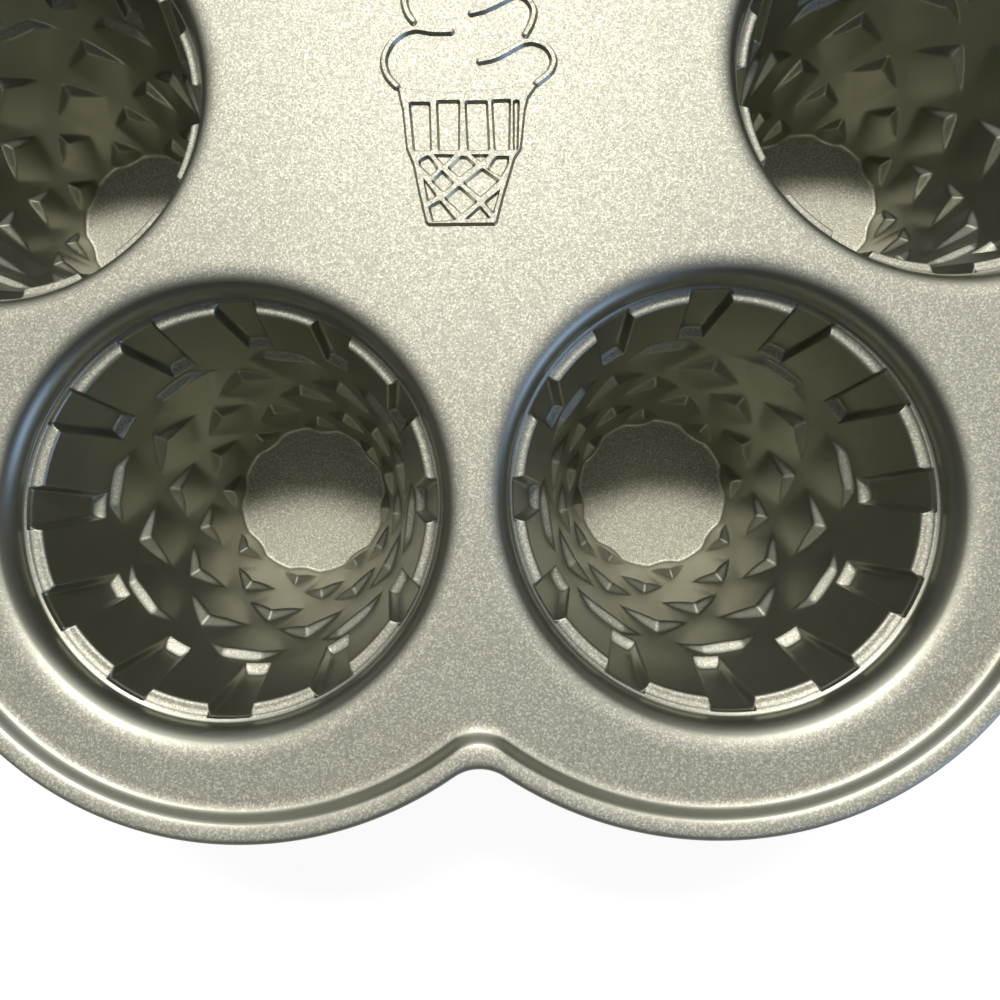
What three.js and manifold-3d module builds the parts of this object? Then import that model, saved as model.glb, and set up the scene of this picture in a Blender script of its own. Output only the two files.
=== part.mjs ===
// Ice cream cone cake pan: a cast pan with six cone-shaped wells in a scalloped deck.
// Millimetres, +Z up. The origin is the pan's centre, on the surface that the wells stand on.

import * as THREE from "three";
import { mergeVertices } from "three/addons/utils/BufferGeometryUtils.js";
import { ConvexGeometry } from "three/addons/geometries/ConvexGeometry.js";
import Module from "manifold-3d";

const wasm = await Module();
wasm.setup();

// Driving sizes of the pan
const wellCount = 6;
const wellDepth = 62.5;
const mouthDepth = 5.5;
const wallTopRadius = 35.5;
const floorRadius = 18.1;
const wallThickness = 3;
const deckThickness = 3;
const floorThickness = 3;

// Mouth of a well, from its wall out to the deck
const ledgeStep = 0.2;
const throatFlare = 0.9;
const throatHeight = 1.1;
const shoulderWidth = 3.9;

// Deck: the least width between two mouths, and the width outside them
const deckWeb = 3;
const deckMargin = 6.6;
const lobeShift = 9.7;
const cuspRadius = 7.3;

// Raised lip round the deck, seen in section
const lipRise = 2.4;
const lipRun = 2.3;
const lipCrest = 0.8;
const lipFall = 1.7;
const lipEdge = 0.9;
const lipOverhang = 1.3;

// Outside of a well: the flare that carries the deck, and the rounded foot
const flareShare = 0.75;
const flareEdge = 0.5;
const footRound = 1.6;

// Ribbed collar under the mouth
const padCount = 12;
const padTopAngle = 16.4 * Math.PI / 180;
const padFootAngle = 19.6 * Math.PI / 180;
const padFlankAngle = 1.4 * Math.PI / 180;
const padDepth = 1.8;
const padLength = 13;
const padHeel = 2.8;
const padMargin = 0.2;
const padDraft = 12.9 * Math.PI / 180;
const padRoot = 0.8;

// Lattice of raised diamonds between crossing grooves
const diamondsRound = 8;
const rowPitch = 9.04;
const firstRowCover = 2.9;
const grooveHeight = 3.9;
const grooveAngle = 8.5 * Math.PI / 180;
const diamondRelief = 1.6;
const diamondBevel = 1.9;

// Raised figure in the middle of the deck
const emblemWidth = 30;
const emblemHeight = 53;
const emblemRelief = 0.6;
const strokeWidth = 1.3;
const barWidth = 0.8;

// Fit and facets
const seam = 0.3;
const wellFacets = 24;
const lobeSteps = 10;
const cuspSteps = 4;
const curveSteps = 3;
const strokeSteps = 9;
const capSteps = 3;

// Radii of a well, from its wall outwards
const ledgeRadius = wallTopRadius + ledgeStep;
const throatRadius = ledgeRadius + throatFlare;
const shoulderRadius = throatRadius + shoulderWidth;
const holeRadius = shoulderRadius + seam;
const flareRadius = holeRadius + (deckWeb / 2 - seam) * flareShare;
const padTopRadius = wallTopRadius - padDepth;

// Plan of the deck
const wellSpacing = 2 * shoulderRadius + deckWeb;
const wellRingRadius = wellSpacing / (2 * Math.sin(Math.PI / wellCount));
const lobeRingRadius = wellRingRadius - lobeShift;
const lobeRadius = shoulderRadius + deckMargin + lobeShift;
const lipReach = lipRun + lipCrest + lipFall;
const lipFoot = lipReach - lipOverhang;

// Levels
const floorTop = floorThickness;
const deckTop = floorThickness + wellDepth;
const deckBottom = deckTop - deckThickness;
const ledgeLevel = deckTop - mouthDepth;
const lipTop = deckTop + lipRise;
const collarBottom = ledgeLevel - padLength - padHeel - padMargin;

// Size and places of the diamonds
const diamondHeight = 2 * rowPitch - grooveHeight;
const diamondAngle = 2 * Math.PI / diamondsRound - grooveAngle;
const firstRowTop = collarBottom + firstRowCover;
const diamondRows = Math.ceil((firstRowTop - floorTop) / rowPitch);

// Wall lines of a well
const wallSlope = (wallTopRadius - floorRadius) / (ledgeLevel - floorTop);
const wallRun = wallThickness * Math.sqrt(1 + wallSlope * wallSlope);

function wallRadius(z) {
  return floorRadius + wallSlope * (z - floorTop);
}

function outerRadius(z) {
  return wallRadius(z) + wallRun;
}

// Finish
const castMetal = { color: 0xa9a595, roughness: 0.42, metalness: 0.85 };
const shadedMetal = { color: 0x8f8b7c, roughness: 0.38, metalness: 0.85 };
const figureMetal = { color: 0x9d9989, roughness: 0.45, metalness: 0.85 };

// Solids and geometries
function toSolid(geometry) {
  geometry.deleteAttribute("normal");
  geometry.deleteAttribute("uv");
  const merged = mergeVertices(geometry);
  const vertProperties = new Float32Array(merged.attributes.position.array);
  const triVerts = new Uint32Array(merged.index.array);
  return new wasm.Manifold(new wasm.Mesh({ numProp: 3, vertProperties, triVerts }));
}

function toGeometry(solid) {
  const mesh = solid.getMesh();
  const geometry = new THREE.BufferGeometry();
  geometry.setAttribute("position", new THREE.BufferAttribute(new Float32Array(mesh.vertProperties), 3));
  geometry.setIndex(new THREE.BufferAttribute(new Uint32Array(mesh.triVerts), 1));
  geometry.computeVertexNormals();
  return geometry;
}

// A solid of revolution about Z, from a closed profile of radius and height drawn anticlockwise
function revolve(profile) {
  const points = profile.map(([radius, height]) => new THREE.Vector2(radius, height));
  points.push(points[0].clone());
  const lathe = new THREE.LatheGeometry(points, wellFacets);
  lathe.rotateX(Math.PI / 2);
  return toSolid(lathe);
}

// A quarter of an ellipse between two points of a profile, leaving the first one level
function quarterRound([startRadius, startHeight], [endRadius, endHeight]) {
  const points = [];
  for (let step = 0; step <= curveSteps; step += 1) {
    const angle = (step / curveSteps) * Math.PI / 2;
    const radius = endRadius + (startRadius - endRadius) * (1 - Math.sin(angle));
    const height = startHeight + (endHeight - startHeight) * (1 - Math.cos(angle));
    points.push([radius, height]);
  }
  return points;
}

// A solid through closed rings of points, the last ring joined to the first, for a section drawn clockwise
function joinRings(rings) {
  const count = rings[0].length;
  const positions = rings.flat().flatMap((point) => [point.x, point.y, point.z]);
  const index = [];
  for (let ring = 0; ring < rings.length; ring += 1) {
    const here = ring * count;
    const next = ((ring + 1) % rings.length) * count;
    for (let step = 0; step < count; step += 1) {
      const after = (step + 1) % count;
      index.push(here + step, next + after, here + after);
      index.push(here + step, next + step, next + after);
    }
  }
  const geometry = new THREE.BufferGeometry();
  geometry.setAttribute("position", new THREE.Float32BufferAttribute(positions, 3));
  geometry.setIndex(index);
  geometry.computeVertexNormals();
  return geometry;
}

// Points of a scalloped outline: one lobe beside each well, with a rounded cusp between lobes.
// The offset carries the whole outline outwards from the foot of the lip.
function lobedOutline(offset) {
  const radius = lobeRadius + offset;
  const halfStep = Math.PI / wellCount;
  const halfGap = lobeRingRadius * Math.sin(halfStep);
  const reach = Math.sqrt((radius + cuspRadius) ** 2 - halfGap ** 2);
  const cuspDistance = lobeRingRadius * Math.cos(halfStep) + reach;
  const cuspSpread = Math.atan2(halfGap, reach);
  const lobeSpread = halfStep + cuspSpread;
  const points = [];
  for (let lobe = 0; lobe < wellCount; lobe += 1) {
    const axis = 2 * halfStep * lobe;
    const lobeCentre = new THREE.Vector2(lobeRingRadius, 0).rotateAround(new THREE.Vector2(), axis);
    for (let step = 0; step <= lobeSteps; step += 1) {
      const angle = axis - lobeSpread + 2 * lobeSpread * step / lobeSteps;
      points.push(onCircle(lobeCentre, radius, angle));
    }
    const cuspAxis = axis + halfStep;
    const cuspCentre = new THREE.Vector2(cuspDistance, 0).rotateAround(new THREE.Vector2(), cuspAxis);
    for (let step = 1; step < cuspSteps; step += 1) {
      const angle = cuspAxis + Math.PI + cuspSpread - 2 * cuspSpread * step / cuspSteps;
      points.push(onCircle(cuspCentre, cuspRadius, angle));
    }
  }
  return points;
}

function onCircle(centre, radius, angle) {
  return new THREE.Vector2(centre.x + radius * Math.cos(angle), centre.y + radius * Math.sin(angle));
}

function polar(radius, angle, height) {
  return new THREE.Vector3(radius * Math.cos(angle), radius * Math.sin(angle), height);
}

function plate(shape, bottom, thickness) {
  const geometry = new THREE.ExtrudeGeometry(shape, { depth: thickness, bevelEnabled: false });
  geometry.translate(0, 0, bottom);
  return geometry;
}

// Deck: a scalloped plate with a round hole for each well's mouth
function deckPlate() {
  const shape = new THREE.Shape(lobedOutline(lipFoot));
  for (let well = 0; well < wellCount; well += 1) {
    const angle = 2 * Math.PI * well / wellCount;
    const centre = new THREE.Vector2(wellRingRadius, 0).rotateAround(new THREE.Vector2(), angle);
    const hole = [];
    for (let step = 0; step < wellFacets; step += 1) {
      hole.push(onCircle(centre, holeRadius, angle + 2 * Math.PI * step / wellFacets));
    }
    shape.holes.push(new THREE.Path(hole));
  }
  return plate(shape, deckBottom, deckThickness);
}

// Lip: a low ridge on the deck, steep inside, level on its crest, and falling outside to a thin edge
function outerRim() {
  const section = [
    [0, deckTop],
    [lipRun, lipTop],
    [lipRun + lipCrest, lipTop],
    [lipReach, deckTop + lipEdge],
    [lipReach, deckTop],
  ];
  const rings = section.map(([offset, height]) => {
    return lobedOutline(offset).map((point) => new THREE.Vector3(point.x, point.y, height));
  });
  return joinRings(rings);
}

// Mouth: a soft shoulder that falls from the deck face into a short steep throat. Outside, it flares
// out under the deck and carries it.
function wellMouth() {
  const shoulder = quarterRound([shoulderRadius, deckTop], [throatRadius, ledgeLevel + throatHeight]);
  const flare = quarterRound([flareRadius, deckBottom - flareEdge], [outerRadius(ledgeLevel), ledgeLevel]);
  return toGeometry(revolve([
    ...shoulder,
    [ledgeRadius, ledgeLevel],
    ...flare.reverse(),
    [flareRadius, deckBottom],
    [shoulderRadius, deckBottom],
  ]));
}

// One cell of the lattice seen from inside the well: a raised diamond, highest near its top corner,
// in a frame of wall that its neighbours share as grooves
function latticeCell(angle, middle) {
  const cellHalf = Math.PI / diamondsRound;
  const half = diamondAngle / 2;
  const rise = diamondHeight / 2;
  const frame = [
    onWall(angle, middle + rowPitch),
    onWall(angle - cellHalf, middle),
    onWall(angle, middle - rowPitch),
    onWall(angle + cellHalf, middle),
  ];
  const corners = [
    onWall(angle, middle + rise),
    onWall(angle - half, middle),
    onWall(angle, middle - rise),
    onWall(angle + half, middle),
  ];
  const peakHeight = middle + rise - diamondBevel;
  const peak = polar(wallRadius(peakHeight) - diamondRelief, angle, peakHeight);
  const faces = [];
  for (let side = 0; side < corners.length; side += 1) {
    const next = (side + 1) % corners.length;
    faces.push([corners[side], corners[next], peak]);
    faces.push([frame[side], frame[next], corners[side]]);
    faces.push([frame[next], corners[next], corners[side]]);
  }
  return { frame, faces };
}

function onWall(angle, height) {
  return polar(wallRadius(height), angle, height);
}

// The space that the lattice leaves open: a cone with a row of cells to spare at each end
function latticeSpace() {
  const step = 2 * Math.PI / diamondsRound;
  const firstMiddle = firstRowTop - diamondHeight / 2;
  const lastRow = diamondRows;
  const lid = new THREE.Vector3(0, 0, firstMiddle + 2 * rowPitch);
  const base = new THREE.Vector3(0, 0, firstMiddle - (lastRow + 1) * rowPitch);
  const triangles = [];
  for (let row = -1; row <= lastRow; row += 1) {
    const turn = row % 2 === 0 ? step / 2 : 0;
    for (let place = 0; place < diamondsRound; place += 1) {
      const { frame, faces } = latticeCell(turn + step * place, firstMiddle - rowPitch * row);
      const [upper, right, lower, left] = frame;
      triangles.push(...faces);
      if (row === -1) {
        triangles.push([right, upper, lid], [upper, left, lid]);
      }
      if (row === lastRow) {
        triangles.push([lower, right, base], [left, lower, base]);
      }
    }
  }
  const geometry = new THREE.BufferGeometry().setFromPoints(triangles.flat());
  return toSolid(geometry);
}

// The space inside the outer wall line between two levels
function coreBetween(low, high) {
  return revolve([[0, low], [outerRadius(low), low], [outerRadius(high), high], [0, high]]);
}

// One pad of the collar, rooted in the wall, its face steeper than the wall and wider at its foot
function pad(angle) {
  const topHalf = padTopAngle / 2;
  const footHalf = padFootAngle / 2;
  const topRoot = topHalf + padFlankAngle;
  const footRoot = footHalf + padFlankAngle;
  const foot = ledgeLevel - padLength;
  const heel = foot - padHeel;
  const footRadius = padTopRadius - padLength * Math.tan(padDraft);
  return toSolid(new ConvexGeometry([
    polar(padTopRadius, angle - topHalf, ledgeLevel),
    polar(padTopRadius, angle + topHalf, ledgeLevel),
    polar(wallTopRadius + padRoot, angle - topRoot, ledgeLevel),
    polar(wallTopRadius + padRoot, angle + topRoot, ledgeLevel),
    polar(footRadius, angle - footHalf, foot),
    polar(footRadius, angle + footHalf, foot),
    polar(wallRadius(heel) + padRoot, angle - footRoot, heel),
    polar(wallRadius(heel) + padRoot, angle + footRoot, heel),
  ]));
}

// Collar: the upper wall with its ring of pads
function wellCollar() {
  const wall = revolve([
    [wallRadius(collarBottom), collarBottom],
    [outerRadius(collarBottom), collarBottom],
    [outerRadius(ledgeLevel), ledgeLevel],
    [wallTopRadius, ledgeLevel],
  ]);
  const pads = [];
  const step = 2 * Math.PI / padCount;
  for (let place = 0; place < padCount; place += 1) {
    pads.push(pad(step * (place + 1 / 2)));
  }
  return toGeometry(wall.add(wasm.Manifold.union(pads)));
}

// Lattice: the tapering lower wall with its staggered rows of diamonds
function wellLattice() {
  return toGeometry(coreBetween(floorTop, collarBottom).subtract(latticeSpace()));
}

// Floor: the flat disc that closes the well and that the pan stands on
function wellFloor() {
  const edge = outerRadius(floorTop);
  const foot = quarterRound([edge - footRound, 0], [edge, footRound]);
  return toGeometry(revolve([[0, 0], ...foot, [edge, floorTop], [0, floorTop]]));
}

// Outline of the cone in the raised figure, as shares of the figure's width and height
const coneOutlineShares = [
  [-0.231, -0.499], [0.146, -0.499], [0.27, -0.273], [0.301, -0.25], [0.342, -0.1], [0.415, -0.033],
  [0.197, -0.046], [-0.006, -0.05], [-0.209, -0.043], [-0.391, -0.028], [-0.362, -0.1], [-0.343, -0.25],
  [-0.299, -0.298],
];
const coneWindowShares = [[-0.318, -0.212], [-0.166, -0.04], [-0.002, 0.12], [0.151, 0.251], [0.272, 0.303]];
const windowTopShare = -0.091;
const windowBottomShare = -0.248;
const netOutlineShares = [[-0.205, -0.478], [0.12, -0.478], [0.243, -0.277], [-0.272, -0.277]];
const netCrossingShare = [-0.028, -0.359];
const netStepShares = [0.0972, 0.0542];
const netBars = [-2, -1, 0, 1, 2];

// Centre lines of the swirl's strokes, as shares of the figure's width and height
const strokeShares = [
  [[-0.384, -0.033], [-0.449, 0.01], [-0.474, 0.056], [-0.463, 0.093], [-0.42, 0.134], [-0.355, 0.162],
    [-0.282, 0.172], [-0.18, 0.162], [-0.057, 0.16]],
  [[0.059, 0.052], [0.168, 0.064], [0.27, 0.093], [0.342, 0.113], [0.407, 0.113], [0.473, 0.093],
    [0.509, 0.052], [0.487, 0.01], [0.429, -0.018], [0.389, -0.036]],
  [[-0.285, 0.189], [-0.328, 0.224], [-0.35, 0.269], [-0.337, 0.314], [-0.275, 0.345], [-0.173, 0.354],
    [-0.072, 0.349], [-0.006, 0.342]],
  [[0.016, 0.22], [0.11, 0.232], [0.211, 0.257], [0.299, 0.279], [0.364, 0.265], [0.403, 0.224],
    [0.383, 0.175], [0.339, 0.13]],
  [[-0.238, 0.356], [-0.256, 0.388], [-0.217, 0.425], [-0.137, 0.452], [-0.035, 0.469], [0.03, 0.488]],
  [[0.296, 0.284], [0.301, 0.327], [0.262, 0.364], [0.197, 0.397], [0.11, 0.429], [0.03, 0.488]],
  [[-0.006, 0.372], [0.088, 0.378], [0.182, 0.394]],
];

function emblemPoint([across, up]) {
  return new THREE.Vector2(across * emblemWidth, up * emblemHeight);
}

function relief(points) {
  return toSolid(plate(new THREE.Shape(points), deckTop, emblemRelief));
}

// A straight bar between two points
function bar(start, end, width) {
  const side = end.clone().sub(start).normalize().multiplyScalar(width / 2);
  side.set(-side.y, side.x);
  return relief([
    start.clone().sub(side),
    end.clone().sub(side),
    end.clone().add(side),
    start.clone().add(side),
  ]);
}

// A round-ended stroke along a smooth line
function stroke(shares) {
  const line = new THREE.SplineCurve(shares.map(emblemPoint));
  const left = [];
  const right = [];
  for (let step = 0; step <= strokeSteps; step += 1) {
    const point = line.getPoint(step / strokeSteps);
    const along = line.getTangent(step / strokeSteps).multiplyScalar(strokeWidth / 2);
    left.push(new THREE.Vector2(point.x - along.y, point.y + along.x));
    right.unshift(new THREE.Vector2(point.x + along.y, point.y - along.x));
  }
  const endCap = roundCap(line.getPoint(1), line.getTangent(1));
  const startCap = roundCap(line.getPoint(0), line.getTangent(0).negate());
  return relief([...left, ...endCap, ...right, ...startCap].reverse());
}

function roundCap(centre, along) {
  const facing = Math.atan2(along.y, along.x);
  const points = [];
  for (let step = 1; step < capSteps; step += 1) {
    points.push(onCircle(centre, strokeWidth / 2, facing + Math.PI / 2 - Math.PI * step / capSteps));
  }
  return points;
}

// Cone of the figure: a low plateau with sunk windows over a net of crossed bars
function coneSolid() {
  let cone = relief(coneOutlineShares.map(emblemPoint));
  const net = relief(netOutlineShares.map(emblemPoint));
  for (const [leftShare, rightShare] of coneWindowShares) {
    cone = cone.subtract(relief([
      emblemPoint([leftShare, windowBottomShare]),
      emblemPoint([rightShare, windowBottomShare]),
      emblemPoint([rightShare, windowTopShare]),
      emblemPoint([leftShare, windowTopShare]),
    ]));
  }
  const crossing = emblemPoint(netCrossingShare);
  const step = emblemPoint(netStepShares);
  const bars = [];
  for (const place of netBars) {
    const centre = new THREE.Vector2(crossing.x + 2 * step.x * place, crossing.y);
    for (const lean of [-1, 1]) {
      const reach = new THREE.Vector2(step.x * netBars.length, step.y * netBars.length * lean);
      bars.push(bar(centre.clone().sub(reach), centre.clone().add(reach), barWidth));
    }
  }
  return cone.subtract(net.subtract(wasm.Manifold.union(bars)));
}

// The swirl over the cone, clear of the cone by the seam
function swirlSolid() {
  const swirl = wasm.Manifold.union(strokeShares.map(stroke));
  const grown = coneOutlineShares.map(([across, up]) => emblemPoint([across, up + 2 * seam / emblemHeight]));
  return swirl.subtract(relief(grown)).subtract(relief(coneOutlineShares.map(emblemPoint)));
}

// Assembly
const pan = new THREE.Group();

function addPiece(parent, name, geometry, finish) {
  const mesh = new THREE.Mesh(geometry, new THREE.MeshStandardMaterial(finish));
  mesh.name = name;
  parent.add(mesh);
}

addPiece(pan, "deck_plate", deckPlate(), castMetal);
addPiece(pan, "outer_rim", outerRim(), castMetal);
addPiece(pan, "emblem_cone", toGeometry(coneSolid()), figureMetal);
addPiece(pan, "emblem_swirl", toGeometry(swirlSolid()), figureMetal);

const mouthGeometry = wellMouth();
const collarGeometry = wellCollar();
const latticeGeometry = wellLattice();
const floorGeometry = wellFloor();

for (let well = 0; well < wellCount; well += 1) {
  const angle = 2 * Math.PI * well / wellCount;
  const place = new THREE.Group();
  place.position.set(wellRingRadius * Math.cos(angle), wellRingRadius * Math.sin(angle), 0);
  place.rotation.z = angle;
  const label = `well_${well + 1}`;
  addPiece(place, `${label}_mouth`, mouthGeometry, castMetal);
  addPiece(place, `${label}_collar`, collarGeometry, shadedMetal);
  addPiece(place, `${label}_lattice`, latticeGeometry, shadedMetal);
  addPiece(place, `${label}_floor`, floorGeometry, castMetal);
  pan.add(place);
}

export default pan;
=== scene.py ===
"""Ice cream cone cake pan: a cast pan with six cone-shaped wells in a scalloped deck."""

import math

import bmesh
import bpy
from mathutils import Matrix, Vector
from mathutils.geometry import delaunay_2d_cdt


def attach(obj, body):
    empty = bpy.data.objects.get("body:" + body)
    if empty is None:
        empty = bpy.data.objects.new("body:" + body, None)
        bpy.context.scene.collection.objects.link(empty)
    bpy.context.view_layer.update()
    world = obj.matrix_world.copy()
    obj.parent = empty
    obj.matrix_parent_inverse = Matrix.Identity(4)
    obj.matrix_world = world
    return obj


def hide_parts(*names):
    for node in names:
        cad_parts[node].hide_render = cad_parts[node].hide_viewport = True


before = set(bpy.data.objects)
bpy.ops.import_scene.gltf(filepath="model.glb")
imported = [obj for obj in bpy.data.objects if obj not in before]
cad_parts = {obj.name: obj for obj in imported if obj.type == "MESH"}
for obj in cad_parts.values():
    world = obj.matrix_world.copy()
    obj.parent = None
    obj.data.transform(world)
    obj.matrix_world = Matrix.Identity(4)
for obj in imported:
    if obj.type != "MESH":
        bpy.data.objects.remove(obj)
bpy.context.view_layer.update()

MM = 0.001

# Sizes in millimetres, heights above the surface that the wells stand on
WELLS = 6
WELL_RING = 84
FLOOR_TOP = 3
LEDGE = 60
DECK_BOTTOM = 62.5
DECK_TOP = 65.5
LIP_TOP = 67.9
COLLAR_BOTTOM = 44
FLOOR_RADIUS = 18.1
PAD_RADIUS = 33.7
LEDGE_RADIUS = 35.7
THROAT_RADIUS = 36.3
THROAT_HEIGHT = 0.9
SEAM_RADIUS = 40.65
SHOULDER_START = 41.8
SHOULDER_CURVE = 2.5
OUTER_FOOT = 21.24
OUTER_SLOPE = 0.3053
FLARE_RADIUS = 41.7
FLARE_EDGE = 0.5
FOOT_ROUND = 1.6
FLOOR_MIDDLE = 9
SEAM_SLACK = 0.01
MERGE_DISTANCE = 0.002
CENTRE_DISTANCE = 0.001

# Columns of faces round a lattice, a mouth, a floor, the deck and the lip
LATTICE_COLUMNS = 480
MOUTH_COLUMNS = 180
FLOOR_COLUMNS = 96
OUTLINE_COLUMNS = 480
LIP_COLUMNS = 720

# Rows of faces in a pitch of diamonds, a pad, a shoulder and the flare under it
PITCH_ROWS = 30
PAD_ROWS = 54
SHOULDER_ROWS = 24
FLARE_ROWS = 8

# Ribbed collar
PAD_STEP = 30
PAD_FALL = 0.229
GROOVE_TOP_HALF = 6.6
GROOVE_END_HALF = 4.9
FINE_FROM = 4.0
FINE_TO = 7.6
GROOVE_SIDE = 1.5
GROOVE_RADIUS = 35.6
GROOVE_FALL = 0.235
GROOVE_LENGTH = 13.8
COVE_LENGTH = 1.5
COVE_RISE = 2.2
GROOVE_SOFTNESS = 0.4
PAD_EDGE = 0.6
PAD_DISH = 0.3
SEAT_RISE = 0.45
# Radius and height over the ledge, from a pad's dished top to the mouth, and on up the throat
SEAT_CURVE = [
    (34.55, -PAD_DISH), (34.7, -0.28), (34.88, -0.22), (35.06, -0.13), (35.28, 0), (35.45, 0.16),
    (LEDGE_RADIUS, SEAT_RISE),
]
THROAT_CURVE = [(LEDGE_RADIUS, SEAT_RISE), (35.95, 0.6), (36.18, 0.74), (THROAT_RADIUS, THROAT_HEIGHT)]

# Lattice of raised diamonds
WALL_SLOPE = 0.2898
WALL_SOFTNESS = 0.2
DIAMOND_STEP = 22.5
ROW_PITCH = 9.04
FIRST_TOP = 46.9
FIRST_CUT = 43.9
DIAMOND_HEIGHT = 14.18
DIAMOND_RELIEF = 2.0
BEVEL_SLOPE = 1.2
BEVEL_SINK = 0.15
RIDGE_SOFTNESS_SHARE = 0.06
EDGE_SOFTNESS = 0.3
FACE_FADE = 0.7
FOOT_SOFTNESS = 0.15
NARROWING = (1.7, 1.1)
NARROWING_TOP = 30
FLOOR_FILLET = 0.7

# Scalloped outline and its lip
LOBE_RING = 74.3
LOBE_RADIUS = 56.8
CUSP_RADIUS = 7.3
LIP_REACH = 4.55
LIP_FOOT = 3.5
LIP_ROOT = 0.3
LIP_EDGE = 0.3
LIP_INSET = 0.3
LIP_START = 0.02
LIP_LEVEL = 0.05
LOBE_SHARE = 0.8
# Distance outside the line that the lip stands on, and share of the lip's rise
LIP_SLOPE = [
    (-1.3, 0.0), (-1.05, 0.007), (-0.8, 0.025), (-0.55, 0.055), (-0.3, 0.098), (-0.05, 0.16), (0.15, 0.235),
    (0.35, 0.34), (0.55, 0.46), (0.75, 0.58), (0.95, 0.69), (1.15, 0.775), (1.35, 0.835), (1.6, 0.888),
    (1.9, 0.932), (2.25, 0.965), (2.65, 0.988), (3.1, 1.0), (3.4, 0.985), (3.8, 0.9), (4.15, 0.78),
    (4.36, 0.64), (4.48, 0.49), (4.54, 0.34), (4.55, 0.2),
]

# Raised figure
FIGURE_WIDTH = 30
FIGURE_HEIGHT = 53
FIGURE_RELIEF = 0.6
STROKE_WIDTH = 1.5
DRAFT_OUT = 0.25
DRAFT_IN = 0.17
BORDER_ROUND = 0.2
OPENING_TOP_ROUND = 0.5
OPENING_FOOT_ROUND = 0.3
ROUND_SHARE = 0.35
MITRE_LIMIT = 0.5
# Section of a stroke: how level its top is, how wide it stays, and how far its sides slope in
STROKE_SIDES = 28
STROKE_TOP = 1.5
STROKE_FLANK = 1.6
STROKE_DRAFT = 0.6
STROKE_TIP_SHARE = 0.02


class Link:
    """A socket that takes part in sums."""

    def __init__(self, tree, socket):
        self.tree = tree
        self.socket = socket

    def __add__(self, other):
        return self.tree.maths("ADD", self, other)

    __radd__ = __add__

    def __sub__(self, other):
        return self.tree.maths("SUBTRACT", self, other)

    def __rsub__(self, other):
        return self.tree.maths("SUBTRACT", other, self)

    def __mul__(self, other):
        return self.tree.maths("MULTIPLY", self, other)

    __rmul__ = __mul__

    def __truediv__(self, other):
        return self.tree.maths("DIVIDE", self, other)

    def least(self, other):
        return self.tree.maths("MINIMUM", self, other)

    def most(self, other):
        return self.tree.maths("MAXIMUM", self, other)

    def soft_least(self, other, width):
        return self.tree.maths("SMOOTH_MIN", self, other, width)

    def soft_most(self, other, width):
        return self.tree.maths("SMOOTH_MAX", self, other, width)

    def wrapped(self, low, high):
        return self.tree.maths("WRAP", self, high, low)

    def above(self, limit):
        return self.tree.maths("GREATER_THAN", self, limit)

    def share(self, low, high):
        return ((self - low) / (high - low)).most(0).least(1)

    def power(self, exponent):
        return self.tree.maths("POWER", self, exponent)

    def size(self):
        return self.tree.maths("ABSOLUTE", self)

    def sign(self):
        return self.tree.maths("SIGN", self)

    def root(self):
        return self.tree.maths("SQRT", self)

    def sine(self):
        return self.tree.maths("SINE", self)

    def cosine(self):
        return self.tree.maths("COSINE", self)

    def angle_over(self, other):
        return self.tree.maths("ARCTAN2", self, other)

    def between(self, low, high):
        return low + (high - low) * self


class Tree:
    """A node tree that is written as sums and named nodes."""

    def __init__(self, owner):
        self.owner = owner
        self.nodes = owner.nodes
        self.links = owner.links
        self.nodes.clear()

    def feed(self, socket, value):
        if isinstance(value, Link):
            self.links.new(value.socket, socket)
        else:
            socket.default_value = value

    def maths(self, operation, *values):
        node = self.nodes.new("ShaderNodeMath")
        node.operation = operation
        for socket, value in zip(node.inputs, values):
            self.feed(socket, value)
        return Link(self, node.outputs[0])

    def add(self, kind, settings=None, sockets=None, output=0):
        node = self.nodes.new(kind)
        for name, value in (settings or {}).items():
            setattr(node, name, value)
        for name, value in (sockets or {}).items():
            self.feed(node.inputs[name], value)
        return Link(self, node.outputs[output]) if len(node.outputs) else None

    def parts(self, vector):
        return [self.add("ShaderNodeSeparateXYZ", None, {0: vector}, axis) for axis in range(3)]

    def joined(self, x, y, z):
        return self.add("ShaderNodeCombineXYZ", None, {0: x, 1: y, 2: z})


# Trees that shape flat sheets
def shaping_tree(name, sizes):
    """A new tree with a named input for each size, and its inputs as links."""
    owner = bpy.data.node_groups.new(name, "GeometryNodeTree")
    owner.interface.new_socket("Sheet", in_out="INPUT", socket_type="NodeSocketGeometry")
    owner.interface.new_socket("Coating", in_out="INPUT", socket_type="NodeSocketMaterial")
    for size in sizes:
        owner.interface.new_socket(size, in_out="INPUT", socket_type="NodeSocketFloat")
    owner.interface.new_socket("Piece", in_out="OUTPUT", socket_type="NodeSocketGeometry")
    tree = Tree(owner)
    given = tree.nodes.new("NodeGroupInput")
    return tree, {socket.name: Link(tree, socket) for socket in given.outputs if socket.name}


def close_tree(tree, shape, coating):
    """Ends a tree in real faces with their coating."""
    sockets = {"Geometry": shape, "Distance": MERGE_DISTANCE * MM}
    merged = tree.add("GeometryNodeMergeByDistance", None, sockets)
    real = tree.add("GeometryNodeRealizeInstances", None, {"Geometry": merged})
    coated = tree.add("GeometryNodeSetMaterial", None, {"Geometry": real, "Material": coating})
    tree.add("NodeGroupOutput", None, {"Piece": coated})
    return tree.owner


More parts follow.
